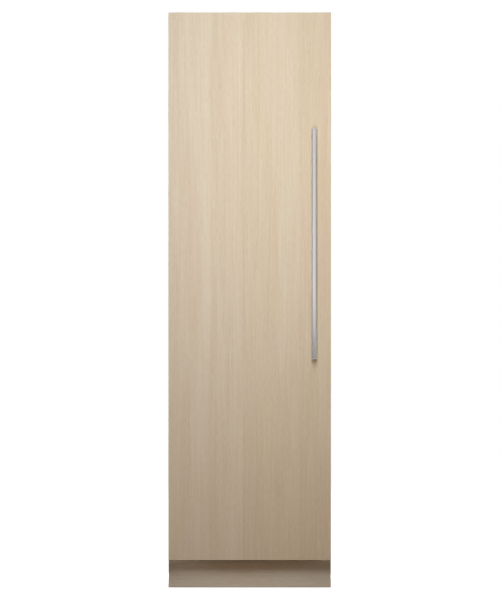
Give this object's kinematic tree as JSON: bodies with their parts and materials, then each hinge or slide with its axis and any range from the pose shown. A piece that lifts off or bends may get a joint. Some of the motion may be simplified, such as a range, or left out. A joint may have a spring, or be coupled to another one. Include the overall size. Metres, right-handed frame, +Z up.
{
  "type": "column refrigerator",
  "caption": "Tall built-in column refrigerator with a full-height oak door panel, a vertical steel bar handle, a recessed toe-kick and link hinges that turn the door about its own front edge.",
  "frame": {"origin": "middle of the underside of the bounding box, on the floor", "axes": "+Z up, -Y toward the user in front of the door, +X to the handle's side; the hinges are on -X"},
  "size_m": [0.603, 0.671, 2.134],
  "materials": {
    "oak_panel": "matte",
    "oak_toe_kick": "matte",
    "handle_steel": "satin",
    "casing_steel": "satin",
    "base_steel": "satin",
    "hinge_steel": "satin",
    "foam": "matte",
    "inner_door": "satin",
    "liner": "satin",
    "duct_cover": "satin",
    "clear_plastic": "gloss",
    "shelf_glass": "polished",
    "shelf_rim": "satin",
    "lamp": "satin",
    "controls": "satin",
    "gasket": "matte",
    "aluminium": "satin",
    "copper": "satin",
    "compressor_black": "satin",
    "black_plastic": "matte",
    "fan_plastic": "satin",
    "roller_plastic": "matte"
  },
  "bodies": {
    "cabinet": {"outer_casing": "casing_steel", "cabinet_insulation": "foam", "inner_liner": "liner", "air_duct_cover": "duct_cover", "evaporator": "aluminium", "light_bar": "lamp", "control_panel": "controls", "glass_shelf_1": "shelf_glass", "glass_shelf_2": "shelf_glass", "glass_shelf_3": "shelf_glass", "shelf_frame_1": "shelf_rim", "shelf_frame_2": "shelf_rim", "shelf_frame_3": "shelf_rim", "drawer_cover": "shelf_glass", "runner_left": "hinge_steel", "runner_right": "hinge_steel", "base_pan": "base_steel", "compressor": "compressor_black", "condenser": "copper", "condenser_fan_shroud": "base_steel", "drip_tray": "black_plastic", "rear_cover": "base_steel", "toe_grille": "black_plastic", "toe_kick_panel": "oak_toe_kick", "power_inlet": "black_plastic", "hinge_bracket_top": "hinge_steel", "hinge_bracket_bottom": "hinge_steel"},
    "hinge_arm_top": {"hinge_arm_top": "hinge_steel"},
    "hinge_link_top": {"hinge_link_top": "hinge_steel"},
    "cabinet_rocker_top": {"cabinet_rocker_top": "hinge_steel"},
    "door_rocker_top": {"door_rocker_top": "hinge_steel"},
    "hinge_arm_bottom": {"hinge_arm_bottom": "hinge_steel"},
    "hinge_link_bottom": {"hinge_link_bottom": "hinge_steel"},
    "cabinet_rocker_bottom": {"cabinet_rocker_bottom": "hinge_steel"},
    "door_rocker_bottom": {"door_rocker_bottom": "hinge_steel"},
    "door": {"door_bracket_top": "hinge_steel", "door_bracket_bottom": "hinge_steel", "door_skin": "casing_steel", "door_liner": "inner_door", "door_gasket": "gasket", "door_panel": "oak_panel", "handle_bar": "handle_steel", "handle_post_upper": "handle_steel", "handle_post_lower": "handle_steel", "door_shelf_1": "clear_plastic", "door_shelf_2": "clear_plastic", "door_shelf_3": "clear_plastic", "door_shelf_4": "clear_plastic"},
    "upper_drawer": {"upper_drawer": "clear_plastic", "upper_drawer_front": "clear_plastic"},
    "lower_drawer": {"lower_drawer": "clear_plastic", "lower_drawer_front": "clear_plastic"},
    "middle_runner_left": {"middle_runner_left": "hinge_steel"},
    "front_foot_left": {"front_foot_left": "hinge_steel"},
    "rear_roller_left": {"rear_roller_left": "roller_plastic"},
    "middle_runner_right": {"middle_runner_right": "hinge_steel"},
    "front_foot_right": {"front_foot_right": "hinge_steel"},
    "rear_roller_right": {"rear_roller_right": "roller_plastic"},
    "evaporator_fan": {"evaporator_fan": "fan_plastic"},
    "condenser_fan": {"condenser_fan": "black_plastic"}
  },
  "joints": [
    {"name": "door_swing", "type": "hinge", "parent": "cabinet", "child": "door", "pos_m": [-0.3015, -0.2935, 2.104], "axis": [0, 0, -1], "range_deg": [0, 115]},
    {"name": "hinge_arm_top_swing", "type": "hinge", "parent": "cabinet", "child": "hinge_arm_top", "pos_m": [-0.27192, -0.23006, 2.104], "axis": [0, 0, -1], "range_deg": [0, 115]},
    {"name": "hinge_link_top_swing", "type": "hinge", "parent": "hinge_arm_top", "child": "hinge_link_top", "pos_m": [-0.21129, -0.19506, 2.104], "axis": [0, 0, -1], "range_deg": [-115, 0]},
    {"name": "cabinet_rocker_top_swing", "type": "hinge", "parent": "cabinet", "child": "cabinet_rocker_top", "pos_m": [-0.2567, -0.19743, 2.104], "axis": [0, 0, -1], "range_deg": [0, 115]},
    {"name": "door_rocker_top_swing", "type": "hinge", "parent": "door", "child": "door_rocker_top", "pos_m": [-0.2097, -0.2405, 2.104], "axis": [0, 0, -1], "range_deg": [-115, 0]},
    {"name": "hinge_arm_bottom_swing", "type": "hinge", "parent": "cabinet", "child": "hinge_arm_bottom", "pos_m": [-0.27192, -0.23006, 0.14], "axis": [0, 0, -1], "range_deg": [0, 115]},
    {"name": "hinge_link_bottom_swing", "type": "hinge", "parent": "hinge_arm_bottom", "child": "hinge_link_bottom", "pos_m": [-0.21129, -0.19506, 0.14], "axis": [0, 0, -1], "range_deg": [-115, 0]},
    {"name": "cabinet_rocker_bottom_swing", "type": "hinge", "parent": "cabinet", "child": "cabinet_rocker_bottom", "pos_m": [-0.2567, -0.19743, 0.14], "axis": [0, 0, -1], "range_deg": [0, 115]},
    {"name": "door_rocker_bottom_swing", "type": "hinge", "parent": "door", "child": "door_rocker_bottom", "pos_m": [-0.2097, -0.2405, 0.14], "axis": [0, 0, -1], "range_deg": [-115, 0]},
    {"name": "upper_drawer_slide", "type": "slide", "parent": "cabinet", "child": "upper_drawer", "axis": [0, -1, 0], "range_m": [0, 0.106]},
    {"name": "lower_drawer_slide", "type": "slide", "parent": "cabinet", "child": "lower_drawer", "axis": [0, -1, 0], "range_m": [0, 0.106]},
    {"name": "middle_runner_left_slide", "type": "slide", "parent": "cabinet", "child": "middle_runner_left", "axis": [0, -1, 0], "range_m": [0, 0.053]},
    {"name": "front_foot_left_screw", "type": "slide", "parent": "cabinet", "child": "front_foot_left", "axis": [0, 0, -1], "range_m": [0, 0.02]},
    {"name": "rear_roller_left_spin", "type": "hinge", "parent": "cabinet", "child": "rear_roller_left", "pos_m": [-0.2395, 0.2855, 0.02], "axis": [1, 0, 0], "continuous": true},
    {"name": "middle_runner_right_slide", "type": "slide", "parent": "cabinet", "child": "middle_runner_right", "axis": [0, -1, 0], "range_m": [0, 0.053]},
    {"name": "front_foot_right_screw", "type": "slide", "parent": "cabinet", "child": "front_foot_right", "axis": [0, 0, -1], "range_m": [0, 0.02]},
    {"name": "rear_roller_right_spin", "type": "hinge", "parent": "cabinet", "child": "rear_roller_right", "pos_m": [0.2395, 0.2855, 0.02], "axis": [1, 0, 0], "continuous": true},
    {"name": "evaporator_fan_spin", "type": "hinge", "parent": "cabinet", "child": "evaporator_fan", "pos_m": [0, 0.2408, 1.969], "axis": [0, 1, 0], "continuous": true},
    {"name": "condenser_fan_spin", "type": "hinge", "parent": "cabinet", "child": "condenser_fan", "pos_m": [0.11, 0.1438, 0.07675], "axis": [0, 1, 0], "continuous": true}
  ],
  "couplings": [
    {"joint": "hinge_arm_top_swing", "follows": "door_swing", "ratio": 1},
    {"joint": "hinge_link_top_swing", "follows": "door_swing", "ratio": -1},
    {"joint": "cabinet_rocker_top_swing", "follows": "door_swing", "ratio": 1},
    {"joint": "door_rocker_top_swing", "follows": "door_swing", "ratio": -1},
    {"joint": "hinge_arm_bottom_swing", "follows": "door_swing", "ratio": 1},
    {"joint": "hinge_link_bottom_swing", "follows": "door_swing", "ratio": -1},
    {"joint": "cabinet_rocker_bottom_swing", "follows": "door_swing", "ratio": 1},
    {"joint": "door_rocker_bottom_swing", "follows": "door_swing", "ratio": -1},
    {"joint": "middle_runner_left_slide", "follows": "lower_drawer_slide", "ratio": 0.5},
    {"joint": "middle_runner_right_slide", "follows": "lower_drawer_slide", "ratio": 0.5}
  ]
}
